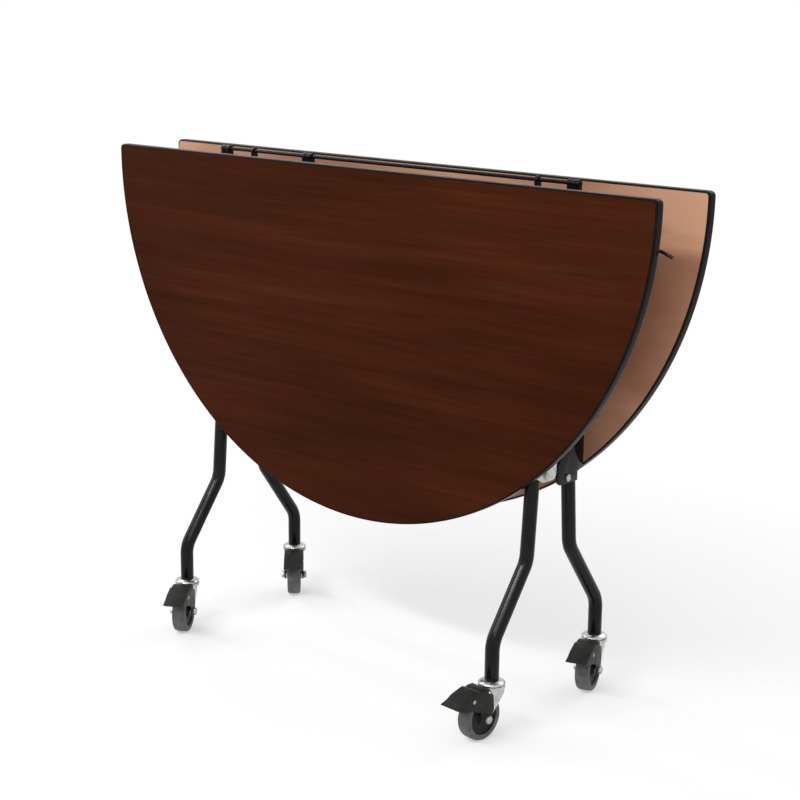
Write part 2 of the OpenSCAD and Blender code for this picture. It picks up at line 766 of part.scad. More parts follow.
module front_core() { color("burlywood") front() core(front_screw_spots); }
module front_laminate() { color([0.22, 0.11, 0.07]) front() laminate(); }
module front_backer() { color([0.72, 0.56, 0.46]) front() backer(front_screw_spots); }
module front_edge_band() { color([0.09, 0.09, 0.08]) front() edge_band(); }
module front_hinge_leaves() {
    color([0.12, 0.12, 0.12]) front()
        for (leaf = front_leaves) hinge_leaf(leaf, running_clearance);
}
module front_pivot_bracket_left() { color([0.15, 0.15, 0.15]) front() left() pivot_bracket(); }
module front_pivot_bracket_right() {
    color([0.15, 0.15, 0.15]) difference() {
        front() pivot_bracket();
        placed() x_bar(leg_x + cheek_gap - 1, leg_x + cheek_gap + cheek_t + 1, lock_pin_at,
            lock_r + running_clearance);
    }
}
module front_pivot_bolts() { color("silver") front() both_sides() pivot_bolt(); }
module front_keepers() { color("lightgray") front() both_sides() keeper(front_keeper); }
module front_screws() { color("silver") front() half_fasteners(front_screw_spots, front_keeper); }
module lock_guides() { color([0.15, 0.15, 0.15]) placed() for (x = lock_guide_x) lock_guide(x); }
module lock_rod() { color([0.1, 0.1, 0.1]) placed() lock_bar(); }

module rear_leg_left() { color([0.1, 0.1, 0.1]) placed() left() leg(); }
module rear_leg_right() { color([0.1, 0.1, 0.1]) placed() leg(); }
module rear_cross_tube() { color([0.1, 0.1, 0.1]) placed() cross_tube(); }
module rear_leg_bushes() { color("ivory") placed() both_sides() leg_bush(); }
module rear_stay_studs() { color([0.15, 0.15, 0.15]) placed() both_sides() stay_stud(rear_stay_x); }
module front_leg_left() { color([0.1, 0.1, 0.1]) front() left() leg(); }
module front_leg_right() { color([0.1, 0.1, 0.1]) front() leg(); }
module front_cross_tube() { color([0.1, 0.1, 0.1]) front() cross_tube(); }
module front_leg_bushes() { color("ivory") front() both_sides() leg_bush(); }
module front_stay_studs() { color([0.15, 0.15, 0.15]) front() both_sides() stay_stud(front_stay_x); }
module lock_plate() { color([0.15, 0.15, 0.15]) placed() lock_sector(); }

module yoke_plates() { color([0.15, 0.15, 0.15]) placed() both_sides() yoke_plate(); }
module stay_rod() { color([0.1, 0.1, 0.1]) placed() stay_rod_bar(); }
module rear_stay_left() { color([0.15, 0.15, 0.15]) placed() left() stay(rear_stay_x); }
module rear_stay_right() { color([0.15, 0.15, 0.15]) placed() stay(rear_stay_x); }
module front_stay_left() { color([0.15, 0.15, 0.15]) front() left() stay(front_stay_x); }
module front_stay_right() { color([0.15, 0.15, 0.15]) front() stay(front_stay_x); }

module front_right() { under_stem(1, -1, front_trail_angles[0]) children(); }
module front_left() { under_stem(-1, -1, front_trail_angles[1]) children(); }
module rear_right() { under_stem(1, 1, rear_trail_angles[0]) children(); }
module rear_left() { under_stem(-1, 1, rear_trail_angles[1]) children(); }

module front_right_mount() { color("lightgray") front_right() caster_mount(); }
module front_right_fork() { color("lightgray") front_right() caster_fork(); }
module front_right_axle() { color("silver") front_right() caster_axle(); }
module front_right_wheel() { color([0.25, 0.25, 0.25]) front_right() caster_wheel(); }
module front_right_brake() { color([0.12, 0.12, 0.12]) front_right() caster_brake(); }
module front_left_mount() { color("lightgray") front_left() caster_mount(); }
module front_left_fork() { color("lightgray") front_left() caster_fork(); }
module front_left_axle() { color("silver") front_left() caster_axle(); }
module front_left_wheel() { color([0.25, 0.25, 0.25]) front_left() caster_wheel(); }
module front_left_brake() { color([0.12, 0.12, 0.12]) front_left() caster_brake(); }
module rear_right_mount() { color("lightgray") rear_right() caster_mount(); }
module rear_right_fork() { color("lightgray") rear_right() caster_fork(); }
module rear_right_axle() { color("silver") rear_right() caster_axle(); }
module rear_right_wheel() { color([0.25, 0.25, 0.25]) rear_right() caster_wheel(); }
module rear_right_brake() { color([0.12, 0.12, 0.12]) rear_right() caster_brake(); }
module rear_left_mount() { color("lightgray") rear_left() caster_mount(); }
module rear_left_fork() { color("lightgray") rear_left() caster_fork(); }
module rear_left_axle() { color("silver") rear_left() caster_axle(); }
module rear_left_wheel() { color([0.25, 0.25, 0.25]) rear_left() caster_wheel(); }
module rear_left_brake() { color([0.12, 0.12, 0.12]) rear_left() caster_brake(); }

rear_core();
rear_laminate();
rear_backer();
rear_edge_band();
rear_hinge_leaves();
rear_pivot_bracket_left();
rear_pivot_bracket_right();
rear_pivot_bolts();
rear_keepers();
rear_screws();
hinge_rod();
front_core();
front_laminate();
front_backer();
front_edge_band();
front_hinge_leaves();
front_pivot_bracket_left();
front_pivot_bracket_right();
front_pivot_bolts();
front_keepers();
front_screws();
lock_guides();
lock_rod();
rear_leg_left();
rear_leg_right();
rear_cross_tube();
rear_leg_bushes();
rear_stay_studs();
front_leg_left();
front_leg_right();
front_cross_tube();
front_leg_bushes();
front_stay_studs();
lock_plate();
yoke_plates();
stay_rod();
rear_stay_left();
rear_stay_right();
front_stay_left();
front_stay_right();
front_right_mount();
front_right_fork();
front_right_axle();
front_right_wheel();
front_right_brake();
front_left_mount();
front_left_fork();
front_left_axle();
front_left_wheel();
front_left_brake();
rear_right_mount();
rear_right_fork();
rear_right_axle();
rear_right_wheel();
rear_right_brake();
rear_left_mount();
rear_left_fork();
rear_left_axle();
rear_left_wheel();
rear_left_brake();
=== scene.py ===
"""Looks of a folding round room service table, stored upright on its casters.

Lengths are metres. X runs along the hinge rod, Y across the fold, Z up, floor at Z = 0.
New pieces are surfaces of two parameters, worked out as numpy arrays and kept in place in
their meshes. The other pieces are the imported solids, some with their edges eased.
"""

import json
import math

import bmesh
import bpy
import numpy as np
from mathutils import Matrix, Vector


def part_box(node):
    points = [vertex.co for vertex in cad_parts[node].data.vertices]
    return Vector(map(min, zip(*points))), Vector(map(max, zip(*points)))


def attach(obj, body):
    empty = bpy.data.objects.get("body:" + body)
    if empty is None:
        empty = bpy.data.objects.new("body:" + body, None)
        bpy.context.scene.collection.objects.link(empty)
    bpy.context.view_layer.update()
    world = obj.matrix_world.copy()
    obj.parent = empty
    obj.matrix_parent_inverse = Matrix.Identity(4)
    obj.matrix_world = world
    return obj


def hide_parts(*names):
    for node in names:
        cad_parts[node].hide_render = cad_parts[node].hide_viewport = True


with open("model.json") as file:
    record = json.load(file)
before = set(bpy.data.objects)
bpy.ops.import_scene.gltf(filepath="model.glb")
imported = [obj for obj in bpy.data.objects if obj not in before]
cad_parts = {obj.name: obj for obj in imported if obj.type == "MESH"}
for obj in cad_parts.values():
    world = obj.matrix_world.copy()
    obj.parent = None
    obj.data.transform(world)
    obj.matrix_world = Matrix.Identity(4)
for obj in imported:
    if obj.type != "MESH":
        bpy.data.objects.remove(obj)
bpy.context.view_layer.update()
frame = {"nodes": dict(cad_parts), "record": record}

MM = 0.001
MERGE = 2e-6  # points closer than this become one

# ------------------------------------------------------------ sizes shared with the solids

ROD_LO, ROD_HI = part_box("hinge_rod")
ROD_RISE = 0.5 * MM  # axis of the rod above the joint edges
MID_X = (ROD_LO.x + ROD_HI.x) / 2
FOLD_Y = (ROD_LO.y + ROD_HI.y) / 2
JOINT_Z = (ROD_LO.z + ROD_HI.z) / 2 - ROD_RISE
TOP_R = 550 * MM
TOP_T = 16 * MM
UNDER_Y = 58 * MM  # from the fold to the underside of a half top
CORNER_R = 8 * MM
BAND_W = 3 * MM
BAND_PROUD = 0.25 * MM  # how far the edging stands past each face of the half top
LEG_X = 334 * MM
TUBE_R = 11 * MM
BEND_R = 44 * MM
PIVOT_Y = 21.5 * MM
PIVOT_Z = JOINT_Z - 124 * MM
LEG_TOP_Z = PIVOT_Z + 14 * MM
LEG_LEAN = math.radians(4.2)
UPPER_BEND_Z = JOINT_Z - 560 * MM
LOWER_BEND_Z = JOINT_Z - 667 * MM
STEM_Y = 131 * MM
CASTER_H = 86 * MM
WHEEL_R = 35 * MM
WHEEL_W = 23 * MM
TRAIL = 26 * MM

# name of each caster: side along X, side along Y, direction in which it trails
CASTERS = {
    "front_right": (1, -1, 265),
    "front_left": (-1, -1, 302),
    "rear_right": (1, 1, 287),
    "rear_left": (-1, 1, 313),
}

# round nodes along X that a turned bar replaces
BARS = ("hinge_rod", "stay_rod", "front_cross_tube", "rear_cross_tube")

# nodes that are shown with their edges rounded, and by how much
HARDWARE_EASE = 0.4 * MM
HARDWARE = (
    "rear_hinge_leaves", "front_hinge_leaves", "rear_keepers", "front_keepers",
    "rear_pivot_bracket_left", "rear_pivot_bracket_right",
    "front_pivot_bracket_left", "front_pivot_bracket_right",
    "yoke_plates", "rear_stay_left", "rear_stay_right", "front_stay_left", "front_stay_right",
    "lock_plate", "lock_guides", "rear_stay_studs", "front_stay_studs", "lock_rod",
    "rear_pivot_bolts", "front_pivot_bolts", "rear_leg_bushes", "front_leg_bushes")
CASTER_EASE = {"fork": 0.5 * MM, "brake": 0.7 * MM, "axle": 0.5 * MM}

# cover screw in mm: its seat as [along the trail, sideways, height], the radii of its rings,
# the last two on its back, its dome and its cross recess
SCREW_T, SCREW_W, SCREW_Z = 53, 17, 69
SCREW_RINGS = [0, 0.5, 1.0, 1.5, 1.9, 2.4, 2.8, 3.0, 3.0, 0]
SCREW_BACK_FROM, SCREW_BACK = 8, -0.1
DOME_R, DOME_RISE, DOME_SINK = 3.4, 1.5, 0.55
RECESS_HALF, RECESS_R, RECESS_DEPTH = 0.36, 1.85, 0.5

# floor: below the wheels by the drop, real near the middle and plain white past the fade
FLOOR_RINGS = [0, 0.5, 1, 2, 4, 8, 16, 40]
FLOOR_DROP = 0.0002
FADE_FROM, FADE_TO, LEAST_WHITE = 0.35, 1.3, 0.4

# name of each lamp: place, target, width, watts and, for a strip, its other side
LAMPS = {
    "key": ((1.6, -2.6, 2.6), (0, 0, 0.5), 1.6, 26),
    "fill": ((-2.6, -1.4, 1.6), (0, 0, 0.5), 1.6, 14),
    "rim": ((0.4, 2.4, 2.2), (0, 0, 0.6), 1.4, 16),
    "front_strip": ((-0.1, -2.2, 2.5), (0, 0, 0.4), 1.8, 44, 0.24),
    "left_strip": ((-2.4, 0.1, 2.6), (0, 0, 0.8), 0.12, 14, 1.6),
}
SKY_LIGHT = 0.62

# camera: angles in radians, place from the middle of the joint edges, focal length in pixels
AZIMUTH, ELEVATION, ROLL = 0.7190, 0.2339, 0.0107
CAMERA_X, CAMERA_Y, CAMERA_Z = 1.8446, -2.0693, 0.2831
FOCAL_PX, PICTURE_PX, SENSOR_MM = 1771.2, 800, 36


# ------------------------------------------------------------------------ mesh from arrays

def grid_faces(rows, columns, wrap_rows, wrap_columns):
    """Quads of a grid of rows x columns points: corner (i, j), (i, j+1), (i+1, j+1), (i+1, j)."""
    i = np.arange(rows if wrap_rows else rows - 1)
    j = np.arange(columns if wrap_columns else columns - 1)
    i, j = np.meshgrid(i, j, indexing="ij")
    i1, j1 = (i + 1) % rows, (j + 1) % columns
    quads = np.stack([i * columns + j, i * columns + j1, i1 * columns + j1, i1 * columns + j], -1)
    return quads.reshape(-1, 4)


def shown(name, mesh, sharp):
    """Puts a mesh in the scene, smooth but for edges sharper than the given angle."""
    mesh.polygons.foreach_set("use_smooth", np.ones(len(mesh.polygons), bool))
    mesh.set_sharp_from_angle(angle=math.radians(sharp))
    mesh.update()
    piece = bpy.data.objects.new(name, mesh)
    bpy.context.collection.objects.link(piece)
    return piece


def mesh_piece(name, points, faces, sharp=40):
    """A mesh object from points and faces. Doubles at seams and poles are merged, faces point
    outwards and edges sharper than the given angle stay crisp."""
    mesh = bpy.data.meshes.new(name)
    mesh.from_pydata(points.reshape(-1, 3).tolist(), [], faces.tolist())
    body = bmesh.new()
    body.from_mesh(mesh)
    bmesh.ops.remove_doubles(body, verts=body.verts, dist=MERGE)
    bmesh.ops.recalc_face_normals(body, faces=body.faces)
    body.to_mesh(mesh)
    body.free()
    return shown(name, mesh, sharp)


def softened(profile, rounds=2, share=0.25):
    """Rounds the corners of a polyline: each round keeps, on every edge, the two points at
    the given share from its ends, and the end points stay."""
    for _ in range(rounds):
        a, b = profile[:-1], profile[1:]
        cut = np.stack([a + share * (b - a), b - share * (b - a)], 1)
        cut = cut.reshape(-1, profile.shape[1])
        profile = np.concatenate([profile[:1], cut, profile[-1:]])
    return profile


def turned(profile, steps=72):
    """Surface of revolution: profile point (r, h) at angle u becomes (r cos u, r sin u, h)."""
    u = np.linspace(0, 2 * np.pi, steps, endpoint=False)[:, None]
    r, h = profile[:, 0][None], profile[:, 1][None]
    h = np.broadcast_to(h, (steps, len(profile)))
    points = np.stack([r * np.cos(u), r * np.sin(u), h], -1)
    return points, grid_faces(steps, len(profile), True, False)


def carried(path, across, up, radii, steps=40):
    """Round bar: at path point P the ring is P + R (cos u * across + sin u * up), with R the
    radius there and across and up two unit vectors square to the path."""
    u = np.linspace(0, 2 * np.pi, steps, endpoint=False)[None, :, None]
    ring = np.cos(u) * across[:, None] + np.sin(u) * up[:, None]
    points = path[:, None] + np.asarray(radii)[:, None, None] * ring
    return points, grid_faces(len(path), steps, False, True)


def unit(vector):
    return vector / np.linalg.norm(vector)


def rounded_path(corners, bend, steps=14):
    """Polyline in a plane whose inner corners are arcs. From the tangent point before a corner
    the arc's centre lies a bend radius to the side, and the path turns about it through the
    corner's angle."""
    parts = [corners[:1]]
    for before, at, after in zip(corners[:-2], corners[1:-1], corners[2:]):
        d0, d1 = unit(at - before), unit(after - at)
        turn = math.atan2(d0[0] * d1[1] - d0[1] * d1[0], float(d0 @ d1))
        start = at - d0 * bend * math.tan(abs(turn) / 2)
        side = np.array([-d0[1], d0[0]]) * math.copysign(bend, turn)
        a = np.linspace(0, turn, steps)[:, None]
        parts.append(start + side - side * np.cos(a) + bend * d0 * np.sin(np.abs(a)))
    parts.append(corners[-1:])
    return np.concatenate(parts)


# ---------------------------------------------------------------------------- finishes

class Finish:
    """A material with short ways to add and join its nodes. Patterns read Object coordinates."""

    def __init__(self, name, specular, metallic=0.0):
        self.material = bpy.data.materials.new(name)
        self.material.use_nodes = True
        self.tree = self.material.node_tree
        self.shader = self.tree.nodes["Principled BSDF"]
        self.shader.inputs["Metallic"].default_value = metallic
        self.shader.inputs["Specular IOR Level"].default_value = specular
        self.place = self.tree.nodes.new("ShaderNodeTexCoord").outputs["Object"]

    def join(self, source, socket):
        self.tree.links.new(source, socket)

    def stretched(self, scale):
        """Object coordinates times a scale for each axis."""
        node = self.tree.nodes.new("ShaderNodeMapping")
        node.inputs["Scale"].default_value = scale
        self.join(self.place, node.inputs["Vector"])
        return node.outputs["Vector"]

    def noise(self, scale, detail=4.0, rough=0.55, warp=0.0):
        """Cloudy pattern from 0 to 1; scale is its frequency along each axis, per metre."""
        node = self.tree.nodes.new("ShaderNodeTexNoise")
        node.inputs["Scale"].default_value = 1
        node.inputs["Detail"].default_value = detail
        node.inputs["Roughness"].default_value = rough
        node.inputs["Distortion"].default_value = warp
        self.join(self.stretched(scale), node.inputs["Vector"])
        return node.outputs["Fac"]

    def cells(self, scale):
        """Distance to the nearest of scattered points, for moulded grain."""
        node = self.tree.nodes.new("ShaderNodeTexVoronoi")
        node.inputs["Scale"].default_value = 1
        self.join(self.stretched(scale), node.inputs["Vector"])
        return node.outputs["Distance"]

    def blend(self, a, b, share):
        """a times (1 - share) plus b times share."""
        node = self.tree.nodes.new("ShaderNodeMix")
        node.inputs["Factor"].default_value = share
        self.join(a, node.inputs["A"])
        self.join(b, node.inputs["B"])
        return node.outputs["Result"]

    def colour(self, value, *stops):
        """Base colour for a value: stops are (position, (red, green, blue) as light amounts)."""
        node = self.tree.nodes.new("ShaderNodeValToRGB")
        ramp = node.color_ramp
        while len(ramp.elements) < len(stops):
            ramp.elements.new(0.5)
        for element, (position, colour) in zip(ramp.elements, stops):
            element.position = position
            element.color = (*colour, 1)
        self.join(value, node.inputs["Fac"])
        self.join(node.outputs["Color"], self.shader.inputs["Base Color"])

    def roughness(self, value, low, high):
        """Roughness from low to high as a pattern goes from 0.3 to 0.7, held beyond."""
        node = self.tree.nodes.new("ShaderNodeMapRange")
        ends = {"From Min": 0.3, "From Max": 0.7, "To Min": low, "To Max": high}
        for name, number in ends.items():
            node.inputs[name].default_value = number
        self.join(value, node.inputs["Value"])
        self.join(node.outputs["Result"], self.shader.inputs["Roughness"])

    def relief(self, value, depth, strength=0.5):
        """Bump of the given depth in metres."""
        node = self.tree.nodes.new("ShaderNodeBump")
        node.inputs["Strength"].default_value = strength
        node.inputs["Distance"].default_value = depth
        self.join(value, node.inputs["Height"])
        self.join(node.outputs["Normal"], self.shader.inputs["Normal"])


def walnut_laminate():
    """Dark red brown wood grain print: long streaks along X over fine pores."""
    f = Finish("walnut_laminate", specular=0.02)
    streaks = f.noise((1.6, 6, 26), detail=5, rough=0.6, warp=0.5)
    lines = f.noise((5, 20, 190), detail=3, rough=0.6, warp=0.3)
    cloud = f.noise((2.2, 4, 3.5), detail=2)
    grain = f.blend(f.blend(streaks, lines, 0.33), cloud, 0.3)
    f.colour(grain, (0.30, (0.018, 0.0042, 0.0012)), (0.44, (0.030, 0.0068, 0.0018)),
             (0.54, (0.040, 0.0092, 0.0026)), (0.70, (0.062, 0.0155, 0.0050)))
    f.roughness(lines, 0.34, 0.5)
    f.relief(f.noise((30, 60, 900), detail=2), 0.00006, 0.35)
    return f.material


def tan_backer():
    """Pinkish tan backing sheet with faint long fibres and a light mottle."""
    f = Finish("tan_backer", specular=0.2)
    mottle = f.noise((5, 5, 11), detail=3, rough=0.5)
    fibres = f.noise((18, 40, 210), detail=3, rough=0.6)
    f.colour(f.blend(mottle, fibres, 0.18), (0.34, (0.335, 0.160, 0.092)),
             (0.5, (0.40, 0.203, 0.124)), (0.66, (0.475, 0.26, 0.164)))
    f.roughness(fibres, 0.5, 0.66)
    f.relief(fibres, 0.00005, 0.4)
    return f.material


def plywood():
    """Core board with its plies, light and dark by turns through the thickness."""
    f = Finish("plywood", specular=0.2)
    plies = f.noise((3, 420, 3), detail=1, rough=0.3)
    fibres = f.noise((40, 200, 160), detail=3)
    f.colour(f.blend(plies, fibres, 0.3), (0.36, (0.21, 0.115, 0.055)),
             (0.5, (0.42, 0.27, 0.14)), (0.64, (0.60, 0.43, 0.26)))
    f.roughness(fibres, 0.6, 0.85)
    f.relief(fibres, 0.0001, 0.5)
    return f.material


def edge_moulding():
    """Black moulded edging: satin plastic with a faint drawn texture and rubbed spots."""
    f = Finish("edge_moulding", specular=0.045)
    rub = f.noise((34, 34, 34), detail=5, rough=0.65)
    f.colour(rub, (0.35, (0.0040, 0.0037, 0.0034)), (0.62, (0.0070, 0.0066, 0.0060)),
             (0.78, (0.016, 0.015, 0.0135)))
    f.roughness(rub, 0.22, 0.36)
    f.relief(f.noise((380, 380, 380), detail=2), 0.00005, 0.3)
    return f.material


def black_enamel():
    """Glossy black enamel on steel: slight orange peel, a duller bloom in places."""
    f = Finish("black_enamel", specular=0.16)
    bloom = f.noise((20, 20, 20), detail=4, rough=0.6)
    f.colour(bloom, (0.35, (0.0030, 0.0030, 0.0032)), (0.7, (0.0062, 0.0062, 0.0065)))
    f.roughness(bloom, 0.10, 0.24)
    f.relief(f.noise((260, 260, 260), detail=1), 0.00004, 0.25)
    return f.material


def zinc():
    """Bright zinc plate with a cloudy lustre and fine rolling scratches."""
    f = Finish("zinc", specular=0.5, metallic=1.0)
    cloud = f.noise((130, 130, 130), detail=4, rough=0.6)
    scratch = f.noise((300, 300, 2600), detail=2)
    f.colour(f.blend(cloud, scratch, 0.3), (0.32, (0.30, 0.31, 0.30)),
             (0.5, (0.46, 0.47, 0.455)), (0.68, (0.64, 0.65, 0.635)))
    f.roughness(cloud, 0.20, 0.36)
    f.relief(scratch, 0.00002, 0.35)
    return f.material


def bolt_steel():
    """Plain plated screws and nuts, greyer and rougher than the fork."""
    f = Finish("bolt_steel", specular=0.5, metallic=1.0)
    cloud = f.noise((260, 260, 260), detail=4, rough=0.65)
    f.colour(cloud, (0.3, (0.24, 0.24, 0.235)), (0.55, (0.42, 0.42, 0.41)),
             (0.75, (0.58, 0.58, 0.57)))
    f.roughness(cloud, 0.28, 0.48)
    f.relief(f.noise((1400, 1400, 1400), detail=2), 0.00003, 0.4)
    return f.material


def nylon():
    """Ivory bearing plastic, waxy, with faint turning marks."""
    f = Finish("nylon", specular=0.35)
    wax = f.noise((90, 90, 90), detail=3)
    f.colour(wax, (0.35, (0.60, 0.56, 0.45)), (0.65, (0.74, 0.70, 0.60)))
    f.roughness(wax, 0.35, 0.5)
    f.relief(f.noise((900, 900, 900), detail=2), 0.00003, 0.4)
    return f.material


def wheel_rubber():
    """Dark grey tread rubber, lighter and duller where it has rolled on the floor."""
    f = Finish("wheel_rubber", specular=0.15)
    dust = f.noise((60, 60, 60), detail=5, rough=0.65)
    f.colour(dust, (0.32, (0.064, 0.064, 0.064)), (0.55, (0.108, 0.108, 0.107)),
             (0.75, (0.155, 0.155, 0.152)))
    f.roughness(dust, 0.42, 0.62)
    f.relief(f.noise((1100, 1100, 1100), detail=2), 0.00005, 0.5)
    return f.material


def cover_plastic():
    """Black moulded plastic of covers and wheel centres, with a fine leather grain."""
    f = Finish("cover_plastic", specular=0.12)
    haze = f.noise((70, 70, 70), detail=4, rough=0.6)
    f.colour(haze, (0.32, (0.0105, 0.0105, 0.010)), (0.55, (0.0165, 0.0165, 0.0155)),
             (0.78, (0.030, 0.030, 0.028)))
    f.roughness(haze, 0.34, 0.52)
    f.relief(f.cells((1300, 1300, 1300)), 0.00006, 0.4)
    return f.material


FINISHES = {f.__name__: f() for f in (
    walnut_laminate, tan_backer, plywood, edge_moulding, black_enamel,
    zinc, bolt_steel, nylon, wheel_rubber, cover_plastic)}

# word in a node's name: its finish, the first that fits counts
NODE_FINISH = [
    ("core", "plywood"), ("laminate", "walnut_laminate"), ("backer", "tan_backer"),
    ("edge_band", "edge_moulding"), ("front_keepers", "zinc"), ("screws", "bolt_steel"),
    ("bolts", "bolt_steel"), ("bushes", "nylon"), ("mount", "zinc"), ("fork", "zinc"),
    ("axle", "bolt_steel"), ("wheel", "wheel_rubber"), ("brake", "cover_plastic"),
    ("", "black_enamel"),
]


def finish_of(node):
    return next(name for word, name in NODE_FINISH if word in node)


def body_of_node(node):
    """Name of the body that carries a node."""
    bodies = frame["record"]["behaviour"]["bodies"]
    return next(name for name, nodes in bodies.items() if node in nodes)


def dress(piece, slot, *nodes, body=None):
    """Gives a piece its finish, lets it ride on its body and stand for the nodes it replaces."""
    piece.data.materials.clear()
    piece.data.materials.append(FINISHES[slot])
    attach(piece, body or body_of_node(nodes[0]))
    if nodes:
        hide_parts(*nodes)
    return piece


def dress_nodes():
    """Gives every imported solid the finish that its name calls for."""
    for name, node in frame["nodes"].items():
        node.data.materials.clear()
        node.data.materials.append(FINISHES[finish_of(name)])


# --------------------------------------------------------------------- eased solids

def eased(node, width, sharp=28, crisp=38):
    """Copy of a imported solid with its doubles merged, its flat faces made whole and the edges
    between faces that meet at more than the sharp angle rounded. What is then still sharper
    than the crisp angle is shaded as an edge."""
    body = bmesh.new()
    body.from_mesh(frame["nodes"][node].data)
    bmesh.ops.remove_doubles(body, verts=body.verts, dist=MERGE)
    bmesh.ops.dissolve_limit(body, angle_limit=math.radians(1), verts=body.verts, edges=body.edges)
    angle = math.radians(sharp)
    edges = [e for e in body.edges if len(e.link_faces) == 2 and e.calc_face_angle(0) > angle]
    bmesh.ops.bevel(body, geom=edges, offset=width, segments=3, profile=0.5,
                    affect="EDGES", clamp_overlap=True)
    mesh = bpy.data.meshes.new(node + "_eased")
    body.to_mesh(mesh)
    body.free()
    return dress(shown(node + "_eased", mesh, crisp), finish_of(node), node)


# ------------------------------------------------------------------------- half tops

def rim_outline(corner_steps=12, steps=260):
    """Closed outline of a half top in [x, z] with its outward normals: a quarter circle at
    each corner, joined by the joint edge, and the half circle of the rim."""
    corner = np.linspace(0, np.pi / 2, corner_steps)
    arc = np.linspace(np.pi, 2 * np.pi, steps)
    centre_z, corner_x = JOINT_Z - CORNER_R, TOP_R - CORNER_R
    angles = np.concatenate([corner, corner + np.pi / 2, arc[1:-1]])
    normals = np.stack([np.cos(angles), np.sin(angles)], -1)
    centres = np.zeros_like(normals)
    centres[:, 1] = centre_z
    centres[:corner_steps, 0] = corner_x
    centres[corner_steps:2 * corner_steps, 0] = -corner_x
    radii = np.full(len(angles), TOP_R)
    radii[:2 * corner_steps] = CORNER_R
    return centres + normals * radii[:, None], normals


def moulding_section(steps=22):
    """Half a superellipse of power 4, as [depth inwards, across the thickness], closed by the
    back face: |1 - depth / width|^4 + |across / half|^4 = 1."""
    half = TOP_T / 2 + BAND_PROUD
    a = np.linspace(-np.pi / 2, np.pi / 2, steps)
    out = np.cos(a).clip(0) ** 0.5
    across = np.sign(np.sin(a)) * np.abs(np.sin(a)) ** 0.5
    return np.stack([BAND_W * (1 - out), half * across], -1)


def rim_moulding(half, side):
    """Rounded edging: its section is carried round the outline of the half top."""
    outline, normals = rim_outline()
    section = moulding_section()
    flat = outline[:, None] - section[None, :, :1] * normals[:, None]
    y = FOLD_Y + side * (UNDER_Y + TOP_T / 2) + side * section[:, 1]
    y = np.broadcast_to(y, flat.shape[:2])
    points = np.stack([MID_X + flat[..., 0], y, flat[..., 1]], -1)
    faces = grid_faces(*flat.shape[:2], True, True)
    piece = mesh_piece(half + "_rim_moulding", points, faces, 50)
    dress(piece, "edge_moulding", half + "_edge_band")


# ------------------------------------------------------------------------ bars and tubes

def leg_line():
    """Centre line of a leg as [y, z] from the fold, and the radius at each point: the bent
    path, with a few points more at both ends where the tube's edge is eased and closed."""
    def lean(z):
        return PIVOT_Y + (PIVOT_Z - z) * math.tan(LEG_LEAN)
    corners = np.array([[lean(LEG_TOP_Z), LEG_TOP_Z], [lean(UPPER_BEND_Z), UPPER_BEND_Z],
                        [STEM_Y, LOWER_BEND_Z], [STEM_Y, CASTER_H]])
    line = rounded_path(corners, BEND_R)
    head = line[0] + unit(line[1] - line[0]) * np.array([[0], [0.2], [1.2]]) * MM
    foot = line[-1] + np.array([[0, 1.2], [0, 0.3], [0, 0]]) * MM
    line = np.concatenate([head[:1], head, line[1:-1], foot, foot[-1:]])
    eased_r, end_r = TUBE_R - 0.3 * MM, TUBE_R - 1 * MM
    radii = np.full(len(line), TUBE_R)
    radii[:3] = 0, end_r, eased_r
    radii[-3:] = eased_r, end_r, 0
    return line, radii


def leg_tube(half, hand, side):
    """Bent tube: a circle carried along the leg's centre line in the plane X = constant."""
    line, radii = leg_line()
    d = np.gradient(line, axis=0)
    d[0], d[-1] = line[4] - line[2], line[-4] - line[-5]
    d[1], d[-2] = d[0], d[-1]
    d /= np.linalg.norm(d, axis=1)[:, None]
    x = np.full(len(line), MID_X + hand * LEG_X)
    path = np.stack([x, FOLD_Y + side * line[:, 0], line[:, 1]], -1)
    across = np.zeros_like(path)
    across[:, 0] = 1
    up = np.stack([np.zeros(len(line)), -side * d[:, 1], d[:, 0]], -1)
    word = "right" if hand > 0 else "left"
    piece = mesh_piece(f"{half}_leg_tube_{word}", *carried(path, across, up, radii), 60)
    dress(piece, "black_enamel", f"{half}_leg_{word}")


def tops_and_legs():
    for half, side in (("front", -1), ("rear", 1)):
        rim_moulding(half, side)
        for hand in (-1, 1):
            leg_tube(half, hand, side)


def bar_for(node, chamfer=0.6 * MM):
    """Bar in the place of a round node that lies along X: a profile with eased ends turned
    about its axis."""
    lo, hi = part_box(node)
    length, radius = hi.x - lo.x, (hi.z - lo.z) / 2
    profile = np.array([[0, 0], [radius - chamfer, 0], [radius, chamfer],
                        [radius, length - chamfer], [radius - chamfer, length], [0, length]])
    points, faces = turned(profile, 56)
    points = np.stack([lo.x + points[..., 2], (lo.y + hi.y) / 2 + points[..., 0],
                       (lo.z + hi.z) / 2 + points[..., 1]], -1)
    dress(mesh_piece(node + "_bar", points, faces, 30), "black_enamel", node)


def hardware():
    for node in BARS:
        bar_for(node)
    for node in HARDWARE:
        eased(node, HARDWARE_EASE)


# ---------------------------------------------------------------------------- casters

def at_caster(name, points):
    """Turns [along the trail, sideways, height] points to their place under a caster's stem."""
    side_x, side_y, angle = CASTERS[name]
    c, s = math.cos(math.radians(angle)), math.sin(math.radians(angle))
    t, w = points[..., 0], points[..., 1]
    return np.stack([MID_X + side_x * LEG_X + t * c - w * s,
                     FOLD_Y + side_y * STEM_Y + t * s + w * c, points[..., 2]], -1)


def caster_piece(name, part, grid, slot, node, sharp=40):
    """A surface of a caster, made in its own frame, that stands for one of its nodes."""
    points, faces = grid
    piece = mesh_piece(f"{name}_{part}", at_caster(name, points), faces, sharp)
    return dress(piece, slot, f"{name}_{node}")


